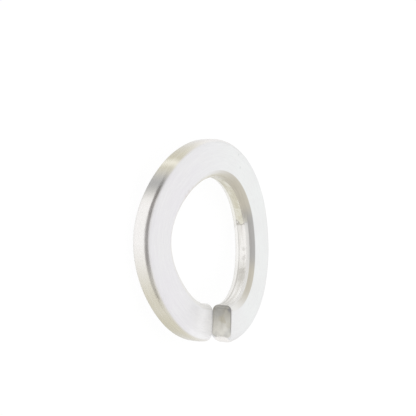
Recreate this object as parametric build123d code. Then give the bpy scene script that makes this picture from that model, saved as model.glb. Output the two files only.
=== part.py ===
from build123d import *
import math
import os

# Split spring lock washer for an M12 screw, lying flat as it comes to rest.
# Frame: millimetres, +Z up, bore axis along Z, Z = 0 is the surface that it lies on.
# The split points to -Y.  Seen from above, the end on the +X side of the split is
# the raised one, so the coil is a left-hand helix, as a washer for right-hand
# threads has.

# ---- driving dimensions (mm) ----
OUTER_D = 20.4          # outside diameter
BORE_D = 12.7           # bore diameter
THICK = 2.5             # wire thickness along the axis
SPLIT_DEG = 0.2         # opening of the split, seen along the axis
SPLIT_CENTRE_DEG = -92.7  # where the middle of the split points
EDGE_OUTER_R = 0.85     # rounding of the two outer edges
EDGE_INNER_R = 0.75     # rounding of the two bore edges
END_OUTER_R = 0.60      # rolled-over outer edge of the raised end
END_INNER_R = 0.25      # broken bore edge of the raised end
LOW_OUTER_R = 0.15      # outer edge of the low end
LOW_INNER_R = 0.12      # bore edge of the low end
# Height of the underside over the resting surface, from the raised end round to
# the low end, in equal steps of angle.  The coil rests on the surface near three of
# them and springs clear of it between.
LIFT = [2.44, 1.16, 0.09, 0.17, 0.67, 0.60, 0.00, 0.44, 0.07]
OVERSHOOT = 1.0         # how far the strip passes the two cylinders before trimming

RO = OUTER_D / 2
RI = BORE_D / 2
START = math.radians(SPLIT_CENTRE_DEG + SPLIT_DEG / 2)
SWEEP = 2 * math.pi - math.radians(SPLIT_DEG)


def natural_spline(values):
    """Second derivatives of a natural cubic spline through equally spaced values."""
    n = len(values)
    h = 1.0 / (n - 1)
    a = [0.0] * n
    b = [1.0] * n
    c = [0.0] * n
    d = [0.0] * n
    for i in range(1, n - 1):
        a[i], b[i], c[i] = h / 6, 2 * h / 3, h / 6
        d[i] = (values[i + 1] - 2 * values[i] + values[i - 1]) / h
    for i in range(1, n):
        m = a[i] / b[i - 1]
        b[i] -= m * c[i - 1]
        d[i] -= m * d[i - 1]
    out = [0.0] * n
    out[-1] = d[-1] / b[-1]
    for i in range(n - 2, -1, -1):
        out[i] = (d[i] - c[i] * out[i + 1]) / b[i]
    return out


SECOND = natural_spline(LIFT)


def lift(s):
    """Height of the underside at fraction s of the way round."""
    n = len(LIFT)
    h = 1.0 / (n - 1)
    i = min(int(s / h), n - 2)
    u = (s - i * h) / h
    v = 1 - u
    return (v * LIFT[i] + u * LIFT[i + 1]
            + ((v ** 3 - v) * SECOND[i] + (u ** 3 - u) * SECOND[i + 1]) * h * h / 6)


def coil(radius, above):
    """The curve at one radius, a given height above the underside."""
    pts = []
    for k in range(97):
        s = k / 96
        t = START + s * SWEEP
        pts.append((radius * math.cos(t), radius * math.sin(t), lift(s) + above))
    return Edge.make_spline([Vector(*p) for p in pts])


# ---- flat strip wound along the coil, wider than the washer ----
r_in, r_out = RI - OVERSHOOT, RO + OVERSHOOT
e_it, e_ot = coil(r_in, THICK), coil(r_out, THICK)
e_ib, e_ob = coil(r_in, 0.0), coil(r_out, 0.0)
strip_faces = [
    Face.make_surface_from_curves(e_it, e_ot),
    Face.make_surface_from_curves(e_ib, e_ob),
    Face.make_surface_from_curves(e_it, e_ib),
    Face.make_surface_from_curves(e_ot, e_ob),
]
for at in (0, 1):
    a, b, c, d = e_it @ at, e_ot @ at, e_ob @ at, e_ib @ at
    strip_faces.append(Face(Wire([Edge.make_line(a, b), Edge.make_line(b, c),
                                  Edge.make_line(c, d), Edge.make_line(d, a)])))
strip = Solid(Shell(strip_faces))
if strip.volume < 0:
    strip = -strip

# ---- trimmed by the bore and the outside, so both walls are true cylinders ----
height = max(LIFT) + THICK + 4
turn = Rot(0, 0, SPLIT_CENTRE_DEG)
tube = (turn * Pos(0, 0, height / 2 - 2) * Cylinder(RO, height)
        - turn * Pos(0, 0, height / 2 - 2) * Cylinder(RI, height + 2))
body = strip & tube
body = body.solids()[0]


def long_edges(shape, radius):
    """The two long edges at one radius."""
    found = []
    for e in shape.edges():
        mid = e @ 0.5
        if e.length > 20 and abs(math.hypot(mid.X, mid.Y) - radius) < 0.05:
            found.append(e)
    return found


body = body.fillet(EDGE_OUTER_R, long_edges(body, RO))
body = body.fillet(EDGE_INNER_R, long_edges(body, RI))


def end_cutter(wall, q, outward, into):
    """What rounds one corner of a cut end, between its radial plane and a wall.

    Local x runs out along the end plane and y into the metal (into = 1 or -1).
    """
    rc = wall - q if outward else wall + q
    xc = math.sqrt(rc * rc - q * q)
    far = wall + 1.0 if outward else wall - 1.0
    pad = RI * math.radians(SPLIT_DEG) / 3      # stays clear of the other end
    pts = [(xc, -pad), (far, -pad), (xc * far / rc, q * far / rc), (xc, q)]
    pts = [(x, into * y) for x, y in pts]
    wedge = extrude(Polygon(*pts, align=None), amount=height)
    keep = Pos(xc, into * q, height / 2) * Cylinder(q, height + 2)
    return Pos(0, 0, -2) * (wedge - keep)


# ---- the four corners of the two cut ends, seen along the axis ----
for angle, into, q_out, q_in in ((math.degrees(START), 1, END_OUTER_R, END_INNER_R),
                                 (math.degrees(START + SWEEP), -1, LOW_OUTER_R, LOW_INNER_R)):
    for wall, q, outward in ((RO, q_out, True), (RI, q_in, False)):
        body = body - Rot(0, 0, angle) * end_cutter(wall, q, outward, into)
washer = body.solids()[0]

box = washer.bounding_box()
print("solids", len(body.solids()), "valid", washer.is_valid, "volume", round(washer.volume, 2))
print("box", [round(v, 3) for v in (*box.min, *box.max)])

os.makedirs("parts", exist_ok=True)
export_step(washer, "parts/lock_washer.step")
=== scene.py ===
import math

import bpy
import numpy as np
from mathutils import Matrix, Vector


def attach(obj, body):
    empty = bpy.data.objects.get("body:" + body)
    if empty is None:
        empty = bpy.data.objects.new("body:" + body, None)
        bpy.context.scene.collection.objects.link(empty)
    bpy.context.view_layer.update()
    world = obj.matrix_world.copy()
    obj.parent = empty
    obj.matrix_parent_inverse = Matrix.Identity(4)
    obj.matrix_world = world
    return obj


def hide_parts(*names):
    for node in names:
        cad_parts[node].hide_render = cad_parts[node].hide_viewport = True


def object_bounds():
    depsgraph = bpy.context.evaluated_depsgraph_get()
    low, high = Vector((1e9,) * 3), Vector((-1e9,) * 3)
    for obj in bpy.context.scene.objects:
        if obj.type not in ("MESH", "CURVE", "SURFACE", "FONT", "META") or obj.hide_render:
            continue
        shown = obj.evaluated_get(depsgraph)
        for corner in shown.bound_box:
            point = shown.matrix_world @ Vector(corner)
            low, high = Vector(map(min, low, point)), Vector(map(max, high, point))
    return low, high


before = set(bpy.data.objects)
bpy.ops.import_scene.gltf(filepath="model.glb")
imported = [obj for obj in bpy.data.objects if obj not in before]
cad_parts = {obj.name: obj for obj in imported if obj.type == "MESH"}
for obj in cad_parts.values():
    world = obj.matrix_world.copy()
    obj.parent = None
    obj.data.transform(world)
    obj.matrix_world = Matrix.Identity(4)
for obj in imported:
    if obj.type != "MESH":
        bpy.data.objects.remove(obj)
cad_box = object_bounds()

MM = 0.001

# ------------------------------------------------------------------
# The washer's sizes, in mm, as in the CAD.
# ------------------------------------------------------------------
RO = 10.2
RI = 6.35
THICK = 2.5
SPLIT_DEG = 0.2
SPLIT_CENTRE_DEG = -92.7
EDGE_OUTER_R = 0.85
EDGE_INNER_R = 0.75
END_OUTER_R = 0.60
END_INNER_R = 0.25
LOW_OUTER_R = 0.15
LOW_INNER_R = 0.12
END_FACE_R = 0.02
LIFT = [2.44, 1.16, 0.09, 0.17, 0.67, 0.60, 0.00, 0.44, 0.07]
START = math.radians(SPLIT_CENTRE_DEG + SPLIT_DEG / 2)
SWEEP = 2 * math.pi - math.radians(SPLIT_DEG)


def lift_curve(s):
    """Natural cubic spline through LIFT at equal steps, for an array s in 0..1."""
    y = np.array(LIFT)
    n = len(y)
    h = 1.0 / (n - 1)
    A = np.zeros((n, n))
    d = np.zeros(n)
    A[0, 0] = A[-1, -1] = 1.0
    for i in range(1, n - 1):
        A[i, i - 1:i + 2] = (h / 6, 2 * h / 3, h / 6)
        d[i] = (y[i + 1] - 2 * y[i] + y[i - 1]) / h
    M = np.linalg.solve(A, d)
    i = np.clip((s / h).astype(int), 0, n - 2)
    u = (s - i * h) / h
    v = 1 - u
    return v * y[i] + u * y[i + 1] + ((v ** 3 - v) * M[i] + (u ** 3 - u) * M[i + 1]) * h * h / 6


def section(n_arc=11, n_face=15, n_wall=7):
    """The rounded section, anticlockwise: radial, axial and outward normal, and the end rounding."""
    ro, ri = EDGE_OUTER_R, EDGE_INNER_R
    b, t = RO - RI, THICK
    pts, nrm, rnd = [], [], []

    def arc(cx, cy, r, a0):
        for k in range(n_arc):
            a = math.radians(a0 + 90.0 * k / (n_arc - 1))
            pts.append((cx + r * math.cos(a), cy + r * math.sin(a)))
            nrm.append((math.cos(a), math.sin(a)))

    def flat(p, q, n, steps):
        for k in range(1, steps):
            f = k / steps
            pts.append((p[0] + (q[0] - p[0]) * f, p[1] + (q[1] - p[1]) * f))
            nrm.append(n)

    arc(b - ro, t / 2 - ro, ro, 0)
    flat((b - ro, t / 2), (ri, t / 2), (0, 1), n_face)
    arc(ri, t / 2 - ri, ri, 90)
    flat((0, t / 2 - ri), (0, -t / 2 + ri), (-1, 0), n_wall)
    arc(ri, -t / 2 + ri, ri, 180)
    flat((ri, -t / 2), (b - ro, -t / 2), (0, -1), n_face)
    arc(b - ro, -t / 2 + ro, ro, 270)
    flat((b, -t / 2 + ro), (b, t / 2 - ro), (1, 0), n_wall)
    pts, nrm = np.array(pts), np.array(nrm)
    # the rolled wire is a touch crowned on its outer wall and on its two faces
    v = pts[:, 1] / (t / 2)
    u = (pts[:, 0] - b / 2) / (b / 2)
    out = np.clip((pts[:, 0] - b * 0.5) / (b * 0.5), 0, 1)
    pts = pts - np.stack([0.05 * v ** 2 * out, 0.025 * u ** 2 * np.sign(v) * np.abs(v) ** 3], 1)
    # how far each cut end is rounded at this point of the section
    w_out = np.clip(nrm[:, 0], 0, 1) ** 1.5
    w_in = np.clip(-nrm[:, 0], 0, 1) ** 1.5
    rnd = END_FACE_R + (END_OUTER_R - END_FACE_R) * w_out + (END_INNER_R - END_FACE_R) * w_in
    rnd_low = END_FACE_R + (LOW_OUTER_R - END_FACE_R) * w_out + (LOW_INNER_R - END_FACE_R) * w_in
    return pts, nrm, rnd, rnd_low


def smooth_noise(shape, cells, rng, wrap):
    """Bicubic-like value noise on a grid, smooth in both directions."""
    gy, gx = cells
    g = rng.standard_normal((gy, gx))
    y = np.linspace(0, gy, shape[0], endpoint=False) if wrap[0] else np.linspace(0, gy - 1.001, shape[0])
    x = np.linspace(0, gx, shape[1], endpoint=False) if wrap[1] else np.linspace(0, gx - 1.001, shape[1])

    def weights(f):
        return [(-f + 2 * f ** 2 - f ** 3) / 2, (2 - 5 * f ** 2 + 3 * f ** 3) / 2,
                (f + 4 * f ** 2 - 3 * f ** 3) / 2, (-f ** 2 + f ** 3) / 2]

    def index(i, n, w):
        return i % n if w else np.clip(i, 0, n - 1)

    iy, ix = np.floor(y).astype(int), np.floor(x).astype(int)
    wy, wx = weights(y - iy), weights(x - ix)
    out = np.zeros(shape)
    for a in range(4):
        for b in range(4):
            out += (wy[a][:, None] * wx[b][None, :]
                    * g[index(iy + a - 1, gy, wrap[0])][:, index(ix + b - 1, gx, wrap[1])])
    return out


def build_washer():
    rng = np.random.default_rng(12)
    sec, nrm, rnd, rnd_low = section()
    m = len(sec)

    # stations: even round the coil, then closer and closer over each rounded end
    n_round = 9
    n_body = 560
    arc_len = SWEEP * (RO + RI) / 2
    big = END_OUTER_R + 0.02
    body_s = np.linspace(big, arc_len - big, n_body)

    def end_rows(q):
        """(distance along per point, inset per point) over one rounded end."""
        rows = []
        for k in range(n_round):
            a = math.pi / 2 * (1 - k / n_round)      # from the end face back to the side walls
            rows.append((q * (1 - math.sin(a)), q * (1 - math.cos(a))))
        # between each point's own rounding and the first even station
        for f in (0.0, 0.35, 0.7):
            rows.append((q + (big - q) * f, np.zeros(m)))
        return rows

    start_rows, stop_rows = end_rows(rnd), end_rows(rnd_low)
    dist = [r[0] for r in start_rows] + [np.full(m, x) for x in body_s]
    inset = [r[1] for r in start_rows] + [np.zeros(m) for _ in body_s]
    dist += [arc_len - r[0] for r in stop_rows[::-1]]
    inset += [r[1] for r in stop_rows[::-1]]
    dist, inset = np.array(dist), np.array(inset)
    n = len(dist)

    # gentle unevenness of the rolled wire, a few thousandths of a millimetre
    relief = (0.006 * smooth_noise((n, m), (26, 7), rng, (False, True))
              + 0.003 * smooth_noise((n, m), (70, 16), rng, (False, True))
              + 0.0015 * smooth_noise((n, m), (150, 34), rng, (False, True)))
    relief -= relief.max()                       # only ever inwards, so it stays in the CAD box

    off = -inset + relief
    rad = RI + sec[:, 0][None, :] + nrm[:, 0][None, :] * off
    axial = sec[:, 1][None, :] + nrm[:, 1][None, :] * off
    s = np.clip(dist / arc_len, 0, 1)
    lift = lift_curve(s.ravel()).reshape(s.shape) + THICK / 2
    th = START + s * SWEEP
    co = np.stack([rad * np.cos(th), rad * np.sin(th), lift + axial], -1)

    verts = [co.reshape(-1, 3)]
    # the zone of each vertex: radial and axial part of the section's normal, and 1 on the cut ends
    broken = np.zeros((n, m))
    for k in range(n_round - 1):
        w = np.clip(-nrm[:, 0] * 1.6 - 0.2, 0, 1) * (1 - k / n_round)
        broken[k] = broken[n - 1 - k] = w
    zone = [np.concatenate([np.tile(nrm, (n, 1)), broken.reshape(-1, 1), axial.reshape(-1, 1)], 1)]
    faces = []
    for i in range(n - 1):
        a = i * m
        for j in range(m):
            j2 = (j + 1) % m
            faces.append((a + j, a + j2, a + m + j2, a + m + j))

    # the two cut faces: rings drawn in towards a line along the middle of the section
    count = n * m

    def cap(row, flip, seed):
        nonlocal count
        r2 = np.random.default_rng(seed)
        base = co[row]
        idx = list(range(row * m, row * m + m))
        th0 = th[row].mean()
        tang = np.array([-math.sin(th0), math.cos(th0), 0.0]) * (1 if flip else -1)
        # spine points: each ring point is drawn to the nearest point of a short radial line
        e_r = np.array([math.cos(th0), math.sin(th0), 0.0])
        mid = base.mean(0)
        q = base - mid
        rr = q @ e_r
        half = (rr.max() - rr.min()) / 2 - 1.1
        spine = mid + np.clip(rr, -half, half)[:, None] * e_r
        prev = idx
        levels = [0.1, 0.22, 0.36, 0.52, 0.70, 0.88]
        for lv in levels:
            ring = base + (spine - base) * lv
            # marks of the shear: a few shallow ridges across the thickness, and a grain
            z = ring[:, 2] - mid[2]
            x = (ring - mid) @ e_r
            dz = (0.012 * np.sin(5.2 * x + 1.7 * np.sin(2.1 * z + seed)) + 0.010 * np.sin(11.3 * x - 3.1 * z + seed)
                  + 0.006 * r2.standard_normal(len(ring)))
            dz = -np.abs(dz) * min(1.0, lv * 4) * (1 - lv) ** 0.7
            ring = ring + tang * dz[:, None]
            ids = list(range(count, count + m))
            verts.append(ring)
            zone.append(np.concatenate([nrm, np.full((m, 1), 0.7 if lv < 0.2 else 1.0), axial[row][:, None]], 1))
            count += m
            for j in range(m):
                j2 = (j + 1) % m
                f = (prev[j], prev[j2], ids[j2], ids[j])
                faces.append(f[::-1] if not flip else f)
            prev = ids
        # close the last ring on itself with a strip of quads across the section
        order = prev
        # walk both ways round from the outermost point
        far = int(np.argmax(rr))
        left = [order[(far + k) % m] for k in range(m)]
        i, j = 0, m - 1
        while j - i > 2:
            f = (left[i], left[i + 1], left[j - 1], left[j])
            faces.append(f[::-1] if not flip else f)
            i += 1
            j -= 1
        if j - i == 2:
            f = (left[i], left[i + 1], left[j])
            faces.append(f[::-1] if not flip else f)

    cap(0, False, 3)
    cap(n - 1, True, 8)
    v = np.concatenate(verts) * MM
    return v, faces, np.concatenate(zone)


verts, faces, zones = build_washer()
mesh = bpy.data.meshes.new("lock_washer_steel")
mesh.from_pydata(verts.tolist(), [], faces)
mesh.update()
for k, name in enumerate(("zone_u", "zone_v", "zone_cut", "zone_h")):
    attr = mesh.attributes.new(name, "FLOAT", "POINT")
    attr.data.foreach_set("value", zones[:, k].astype(np.float32))
washer = bpy.data.objects.new("lock_washer_steel", mesh)
bpy.context.scene.collection.objects.link(washer)
for p in mesh.polygons:
    p.use_smooth = True

import bmesh
bm = bmesh.new()
bm.from_mesh(mesh)
bmesh.ops.remove_doubles(bm, verts=bm.verts, dist=1e-7)
bmesh.ops.recalc_face_normals(bm, faces=bm.faces)
bm.to_mesh(mesh)
bm.free()
mesh.update()


# ------------------------------------------------------------------
# Steel
# ------------------------------------------------------------------
# specks and stains: centre in mm, radius in mm, strength, colour
MARKS = [
    ((3.56, 8.62, 2.93), 0.16, 0.45, (0.62, 0.64, 0.63)),       # specks on the face
    ((3.91, 7.32, 2.87), 0.18, 0.50, (0.60, 0.62, 0.61)),
    ((4.55, 8.30, 2.90), 0.13, 0.35, (0.64, 0.66, 0.65)),
    ((-5.14, 4.56, 2.93), 0.30, 0.45, (0.70, 0.655, 0.64)),     # pinkish marks by the bore
    ((-4.78, 4.94, 3.00), 0.28, 0.50, (0.68, 0.635, 0.62)),
    ((-4.33, 5.34, 3.07), 0.24, 0.40, (0.70, 0.655, 0.64)),
    ((-0.31, -6.85, 4.62), 0.34, 0.60, (0.24, 0.235, 0.25)),    # bore corner of the sheared end
    ((-0.35, -7.80, 3.75), 0.60, 0.50, (0.50, 0.46, 0.35)),     # brownish patch in the middle of it
    ((-0.36, -8.35, 4.55), 0.40, 0.35, (0.52, 0.49, 0.40)),
    ((6.26, -1.20, 1.68), 0.30, 0.35, (0.50, 0.48, 0.45)),
    ((6.00, -2.10, 1.85), 0.34, 0.35, (0.50, 0.48, 0.45)),
    ((5.36, -3.46, 2.06), 0.60, 0.50, (0.50, 0.48, 0.44)),      # darker patch lower down
    ((4.80, -4.15, 2.30), 0.55, 0.40, (0.54, 0.52, 0.48)),
]


def steel_material():
    """Satin plated steel: fine lines round the ring, warm film on the rim and bore, grey sheared ends."""
    mat = bpy.data.materials.new("satin_steel")
    mat.use_nodes = True
    nt = mat.node_tree
    nt.nodes.clear()
    N, L = nt.nodes.new, nt.links.new
    out = N("ShaderNodeOutputMaterial")
    bsdf = N("ShaderNodeBsdfPrincipled")
    L(bsdf.outputs[0], out.inputs[0])
    bsdf.inputs["Specular IOR Level"].default_value = 0.25
    bsdf.inputs["Specular Tint"].default_value = (0.85, 0.85, 0.85, 1)
    geo = N("ShaderNodeTexCoord")
    sep = N("ShaderNodeSeparateXYZ")
    L(geo.outputs["Object"], sep.inputs[0])

    def math_node(op, a=None, b=None, c=None, clamp=False):
        nd = N("ShaderNodeMath")
        nd.operation = op
        nd.use_clamp = clamp
        for i, v in enumerate((a, b, c)):
            if v is None:
                continue
            if isinstance(v, (int, float)):
                nd.inputs[i].default_value = v
            else:
                L(v, nd.inputs[i])
        return nd.outputs[0]

    def smooth(v, lo, hi, a=0.0, b=1.0):
        nd = N("ShaderNodeMapRange")
        nd.interpolation_type = "SMOOTHSTEP"
        L(v, nd.inputs[0])
        for i, x in enumerate((lo, hi, a, b)):
            nd.inputs[i + 1].default_value = x
        return nd.outputs[0]

    def bump_at(v, centre, width):
        """1 at the centre, falling to 0 at centre - width and centre + width."""
        d = math_node("ABSOLUTE", math_node("SUBTRACT", v, centre))
        return smooth(d, 0.0, width, 1.0, 0.0)

    def noise(vec, scale, detail=3.0, rough=0.5):
        nd = N("ShaderNodeTexNoise")
        nd.inputs["Scale"].default_value = scale
        nd.inputs["Detail"].default_value = detail
        nd.inputs["Roughness"].default_value = rough
        L(vec, nd.inputs["Vector"])
        return nd.outputs[0]

    def mix(fac, a, b):
        nd = N("ShaderNodeMix")
        nd.data_type = "RGBA"
        if isinstance(fac, (int, float)):
            nd.inputs[0].default_value = fac
        else:
            L(fac, nd.inputs[0])
        for i, v in ((6, a), (7, b)):
            if isinstance(v, tuple):
                nd.inputs[i].default_value = (*v, 1)
            else:
                L(v, nd.inputs[i])
        return nd.outputs[2]

    x, y, z = sep.outputs
    r2 = math_node("MULTIPLY_ADD", y, y, math_node("MULTIPLY", x, x))
    r = math_node("MULTIPLY", math_node("SQRT", r2), 1000.0)
    ang = math_node("ARCTAN2", y, x)
    deg = math_node("MULTIPLY", ang, 180.0 / math.pi)
    xm = math_node("MULTIPLY", x, 1000.0)

    def zone(name):
        nd = N("ShaderNodeAttribute")
        nd.attribute_type = "GEOMETRY"
        nd.attribute_name = name
        return nd.outputs["Fac"]

    zu, zv, zc, zh = zone("zone_u"), zone("zone_v"), zone("zone_cut"), zone("zone_h")

    # coordinates that run along the coil: radius, angle and height in the section
    comb = N("ShaderNodeCombineXYZ")
    L(r, comb.inputs[0])
    L(math_node("MULTIPLY", ang, 0.35), comb.inputs[1])
    L(zh, comb.inputs[2])
    lines = noise(comb.outputs[0], 9.0, 4.0, 0.6)
    streak = noise(comb.outputs[0], 3.0, 3.0, 0.6)
    grain = noise(geo.outputs["Object"], 2200.0)
    blotch = noise(geo.outputs["Object"], 330.0)

    rim = smooth(zu, 0.58, 0.86)                 # the outer wall
    bore = smooth(zu, -0.25, -0.75)              # the bore wall
    cut = smooth(zc, 0.12, 0.50)                 # the sheared ends
    flat = smooth(math_node("ABSOLUTE", zv), 0.70, 0.97)   # the two faces
    # the upper rounded edge of the bore carries a painted dark reflection band, grey near +X and tan further round
    upper = smooth(deg, 8.0, 26.0)
    bore_edge_painted_dark = math_node("MULTIPLY", smooth(zu, -0.02, -0.14),
                           math_node("MAXIMUM", smooth(zv, 0.46, 0.60), math_node("MULTIPLY", upper, smooth(zh, 0.36, 0.48))))
    bore_lip = math_node("MULTIPLY", smooth(zu, -0.10, -0.26), smooth(zv, 0.02, 0.15))
    # the low end's face, next to the raised end: painted light, lifted to near white to offset the raised end's shade
    low_end_painted_light = math_node("MULTIPLY", smooth(deg, -124.0, -104.0), math_node("LESS_THAN", deg, SPLIT_CENTRE_DEG))

    # the faces: a cool white, a little lavender towards -X and neutral towards +X
    side = smooth(xm, -7.0, 5.0)
    face = mix(side, (0.790, 0.772, 0.800), (0.835, 0.850, 0.842))
    # painted light: the face by the low end is lifted to near white against the raised end's shade
    face = mix(math_node("MULTIPLY", low_end_painted_light, 0.95), face, (0.965, 0.955, 0.965))
    face = mix(math_node("MULTIPLY", smooth(blotch, 0.35, 0.65), 0.5), face, (0.800, 0.795, 0.795))
    fine = noise(comb.outputs[0], 26.0, 3.0, 0.6)
    face = mix(math_node("MULTIPLY", smooth(lines, 0.42, 0.62), 0.35), face, (0.88, 0.88, 0.88))
    face = mix(math_node("MULTIPLY", smooth(fine, 0.50, 0.68), 0.55), face, (0.745, 0.745, 0.75))

    # the outer wall: a warm film, thick at the upper left and lower left, thin between
    film = math_node("MAXIMUM", bump_at(deg, -128.0, 44.0), bump_at(deg, 128.0, 34.0))
    film = math_node("MAXIMUM", film, math_node("MULTIPLY", bump_at(deg, -145.0, 40.0), 0.85))
    film = math_node("MULTIPLY", film, smooth(streak, 0.20, 0.55, 0.75, 1.0))
    rim_c = mix(film, (0.900, 0.880, 0.865), (0.605, 0.572, 0.455))
    # a grey patch in the film, and a painted highlight spot above it
    grey = bump_at(deg, 145.0, 12.0)
    rim_c = mix(grey, rim_c, (0.45, 0.445, 0.435))
    rim_painted_highlight = bump_at(deg, 130.0, 5.0)
    rim_c = mix(math_node("MULTIPLY", rim_painted_highlight, 0.65), rim_c, (0.95, 0.92, 0.82))

    # the bore wall: olive and mottled on the upper part, streaked below, with a stain edge
    edge_at = math_node("MULTIPLY_ADD", math_node("SUBTRACT", noise(geo.outputs["Object"], 1400.0, 3.0, 0.6), 0.5), 22.0, deg)
    up = smooth(edge_at, 11.0, 15.5)
    mott = smooth(noise(geo.outputs["Object"], 900.0, 4.0, 0.65), 0.40, 0.62)
    olive = mix(mott, (0.76, 0.740, 0.650), (0.64, 0.610, 0.500))
    clean = mix(smooth(streak, 0.42, 0.60), (0.90, 0.885, 0.860), (0.74, 0.720, 0.680))
    bore_c = mix(up, clean, olive)
    bore_c = mix(math_node("MULTIPLY", bump_at(edge_at, 13.0, 2.2), 0.75), bore_c, (0.40, 0.38, 0.34))
    low = bump_at(deg, -38.0, 24.0)
    bore_c = mix(math_node("MULTIPLY", low, 0.55), bore_c, (0.50, 0.480, 0.430))
    # the lower edge of the bore wall is coloured near white, with a thin grey line above it
    bore_c = mix(smooth(zh, -0.44, -0.54, 0.0, 0.75), bore_c, (0.94, 0.93, 0.91))
    bore_c = mix(math_node("MULTIPLY", bump_at(zh, -0.40, 0.10), smooth(deg, 16.0, 8.0, 0.15, 0.60)), bore_c, (0.50, 0.485, 0.46))

    # a painted dark reflection band where the outer wall meets the upper edge, widening the grey card's mirrored band
    painted_dark_band = math_node("MULTIPLY", bump_at(zu, 0.82, 0.15), smooth(zv, 0.15, 0.40))
    painted_dark_band = math_node("MULTIPLY", painted_dark_band, smooth(math_node("ABSOLUTE", deg), 158.0, 172.0, 0.0, 0.35))

    col = mix(rim, face, rim_c)
    col = mix(painted_dark_band, col, (0.46, 0.455, 0.46))
    col = mix(bore, col, bore_c)
    col = mix(math_node("MULTIPLY", bore_lip, math_node("MULTIPLY_ADD", up, -0.75, 1.0)), col, (0.80, 0.79, 0.77))
    # painted dark reflection on the bore's upper rounded edge
    edge_amt = math_node("MULTIPLY", bore_edge_painted_dark, math_node("MULTIPLY", smooth(deg, -88.0, -46.0), smooth(deg, 112.0, 60.0)))
    col = mix(math_node("MULTIPLY", edge_amt, 0.92), col, mix(smooth(math_node("ABSOLUTE", deg), 14.0, 34.0), (0.40, 0.39, 0.38), (0.53, 0.495, 0.415)))

    # the sheared end: brownish grey by the bore, lighter outwards, pale at the rolled-over lip
    shear = mix(smooth(r, 6.6, 9.2), (0.405, 0.39, 0.345), (0.80, 0.785, 0.73))
    shear = mix(smooth(noise(geo.outputs["Object"], 1500.0, 4.0, 0.7), 0.35, 0.65, 0.0, 0.35), shear, (0.58, 0.56, 0.50))
    shear = mix(smooth(noise(geo.outputs["Object"], 620.0, 2.0, 0.5), 0.42, 0.60, 0.0, 0.5), shear, (0.50, 0.50, 0.485))
    rim_line = math_node("MULTIPLY", bump_at(zc, 0.58, 0.40), smooth(r, 9.6, 8.6))
    rim_line = math_node("MULTIPLY", rim_line, smooth(zv, -0.4, 0.6, 0.30, 0.85))
    shear = mix(rim_line, shear, (0.25, 0.245, 0.24))
    shear = mix(smooth(r, 9.45, 9.95), shear, (0.86, 0.85, 0.81))
    col = mix(cut, col, shear)

    # small marks: place in mm, radius in mm, how strong, colour
    pos = N("ShaderNodeVectorMath")
    pos.operation = "SCALE"
    L(geo.outputs["Object"], pos.inputs[0])
    pos.inputs["Scale"].default_value = 1000.0
    wobble = N("ShaderNodeTexNoise")
    wobble.inputs["Scale"].default_value = 3.5
    wobble.inputs["Detail"].default_value = 3.0
    L(pos.outputs[0], wobble.inputs["Vector"])
    for centre, radius, amount, tint in MARKS:
        dist = N("ShaderNodeVectorMath")
        dist.operation = "DISTANCE"
        L(pos.outputs[0], dist.inputs[0])
        dist.inputs[1].default_value = centre
        d = math_node("MULTIPLY_ADD", math_node("SUBTRACT", wobble.outputs[0], 0.5), radius * 1.6, dist.outputs["Value"])
        col = mix(smooth(d, radius * 0.35, radius, amount, 0.0), col, tint)
    L(col, bsdf.inputs["Base Color"])

    rough = smooth(lines, 0.30, 0.70, 0.30, 0.42)
    rough = math_node("MULTIPLY_ADD", math_node("MAXIMUM", rim, bore), -0.08, rough)
    rough = math_node("MULTIPLY_ADD", cut, 0.22, rough)
    L(rough, bsdf.inputs["Roughness"])

    # the faces and the sheared ends are matt with plating, the rounded edges and walls are bare
    metal = math_node("MULTIPLY_ADD", flat, -0.70, 1.0)
    metal = math_node("MULTIPLY", metal, math_node("MULTIPLY_ADD", cut, -0.5, 1.0))
    metal = math_node("MULTIPLY", metal, math_node("MULTIPLY_ADD", bore_lip, -0.92, 1.0))
    # the face by the low end is made fully matt as part of the same painted light against the raised end's shade
    metal = math_node("MULTIPLY", metal, math_node("SUBTRACT", 1.0, math_node("MULTIPLY", flat, low_end_painted_light)), clamp=True)
    # less metallic on the rim's left-side edges: a placed lightening of the mirrored dark band there, not wear
    band_lightening = math_node("MAXIMUM", bump_at(deg, -159.0, 19.0), smooth(math_node("ABSOLUTE", deg), 156.0, 172.0, 0.0, 0.35))
    band_lightening = math_node("MULTIPLY", band_lightening, smooth(zu, 0.10, 0.25))
    metal = math_node("MULTIPLY", metal, math_node("MULTIPLY_ADD", band_lightening, -0.45, 1.0))
    L(metal, bsdf.inputs["Metallic"])

    bump = N("ShaderNodeBump")
    bump.inputs["Strength"].default_value = 0.12
    bump.inputs["Distance"].default_value = 0.00003
    L(lines, bump.inputs["Height"])
    bump2 = N("ShaderNodeBump")
    bump2.inputs["Strength"].default_value = 0.10
    bump2.inputs["Distance"].default_value = 0.00002
    L(grain, bump2.inputs["Height"])
    L(bump.outputs[0], bump2.inputs["Normal"])
    L(bump2.outputs[0], bsdf.inputs["Normal"])
    return mat


washer.data.materials.append(steel_material())
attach(washer, "root")
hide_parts("lock_washer")


# ------------------------------------------------------------------
# Floor, cards, light
# ------------------------------------------------------------------
def emission_or_diffuse(name, color, emit=None, rough=0.6, spec=0.2):
    mat = bpy.data.materials.new(name)
    mat.use_nodes = True
    b = mat.node_tree.nodes["Principled BSDF"]
    b.inputs["Base Color"].default_value = (*color, 1)
    b.inputs["Roughness"].default_value = rough
    b.inputs["Specular IOR Level"].default_value = spec
    if emit is not None:
        b.inputs["Emission Color"].default_value = (*emit[0], 1)
        b.inputs["Emission Strength"].default_value = emit[1]
    return mat


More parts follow.
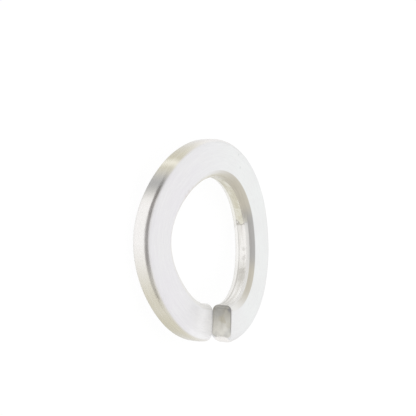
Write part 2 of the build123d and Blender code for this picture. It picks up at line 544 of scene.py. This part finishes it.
def plane(name, centre, size, normal, mat, up=(0, 0, 1)):
    n = Vector(normal).normalized()
    u = Vector(up)
    if abs(n.dot(u)) > 0.99:
        u = Vector((0, 1, 0))
    x = u.cross(n).normalized()
    y = n.cross(x)
    me = bpy.data.meshes.new(name)
    c = Vector(centre)
    hx, hy = size[0] / 2, size[1] / 2
    me.from_pydata([c - x * hx - y * hy, c + x * hx - y * hy, c + x * hx + y * hy, c - x * hx + y * hy], [], [(0, 1, 2, 3)])
    me.materials.append(mat)
    ob = bpy.data.objects.new(name, me)
    bpy.context.scene.collection.objects.link(ob)
    return ob


floor_z = float(cad_box[0][2]) - 1e-6
floor = plane("floor", (0, 0, floor_z), (3.0, 3.0), (0, 0, 1),
              emission_or_diffuse("floor_white", (0.14, 0.14, 0.14), ((1.0, 1.0, 1.0), 0.88), rough=0.7, spec=0.0))

# a wide grey card stands on the far left with its foot running in along the floor, for the
# rounded edges to mirror; neither is seen by the camera nor shades anything
grey = emission_or_diffuse("card_grey", (0.02, 0.02, 0.02), ((1.0, 0.95, 0.93), 0.26), rough=0.9, spec=0.0)
for nm, c, size, nor in (("card_grey_left", (-0.30, 0.0, 0.155), (0.90, 0.310), (1, 0, 0)),
                         ("card_grey_foot", (-0.165, 0.0, floor_z + 0.0004), (0.27, 0.90), (0, 0, 1))):
    card = plane(nm, c, size, nor, grey)
    card.visible_camera = False
    card.visible_shadow = False
    card.visible_diffuse = False

world = bpy.data.worlds.new("studio")
bpy.context.scene.world = world
world.use_nodes = True
bg = world.node_tree.nodes["Background"]
bg.inputs[0].default_value = (1.0, 1.0, 1.0, 1)
bg.inputs[1].default_value = 1.0


def area(name, loc, target, size, power, color=(1, 1, 1)):
    ld = bpy.data.lights.new(name, "AREA")
    ld.shape = "RECTANGLE"
    ld.size, ld.size_y = size
    ld.energy = power
    ld.color = color
    ob = bpy.data.objects.new(name, ld)
    ob.location = loc
    ob.rotation_euler = (Vector(target) - Vector(loc)).to_track_quat("-Z", "Y").to_euler()
    bpy.context.scene.collection.objects.link(ob)
    return ob


area("key", (0.45, 0.05, 0.40), (0, 0, 0), (0.70, 0.70), 0.10, (0.98, 0.99, 1.0))

# ------------------------------------------------------------------
# Camera: above the washer, turned so that the split points down the picture
# ------------------------------------------------------------------
CAM_A, CAM_E = 0.92147, 0.0577        # off the bore axis, and up the picture
CAM_D = 5.8263 * 2 * RO * MM
FOCAL_PX = 1177.22
CENTRE_PX = (204.49, 240.01)           # where the middle of the ring falls


def rotate(v, axis, ang):
    return Matrix.Rotation(ang, 3, axis.normalized()) @ v


def make_camera():
    ca, sa, ce, se = math.cos(CAM_A), math.sin(CAM_A), math.cos(CAM_E), math.sin(CAM_E)
    d = Vector((-sa * ce, se, ca * ce))
    centre = Vector((0, 0, THICK / 2 * MM))
    up0 = Vector((0, 1, 0))
    fw = -d
    rt = fw.cross(up0).normalized()
    up = rt.cross(fw)
    x0 = (CENTRE_PX[0] - 208.0) / FOCAL_PX
    y0 = (CENTRE_PX[1] - 208.0) / FOCAL_PX
    yaw = math.atan(x0)
    fw, rt = rotate(fw, up, yaw), rotate(rt, up, yaw)
    pitch = math.atan(y0 * math.cos(yaw))
    fw, up = rotate(fw, rt, pitch), rotate(up, rt, pitch)
    cam = bpy.data.cameras.new("camera")
    cam.sensor_fit = "HORIZONTAL"
    cam.sensor_width = 36.0
    cam.lens = 36.0 * FOCAL_PX / 416.0
    cam.clip_start = 0.001
    cam.clip_end = 10.0
    ob = bpy.data.objects.new("camera", cam)
    ob.matrix_world = Matrix.Translation(centre + d * CAM_D) @ Matrix((rt, up, -fw)).transposed().to_4x4()
    bpy.context.scene.collection.objects.link(ob)
    bpy.context.scene.camera = ob


make_camera()
bpy.context.scene.view_settings.view_transform = "Standard"
bpy.context.scene.view_settings.look = "None"
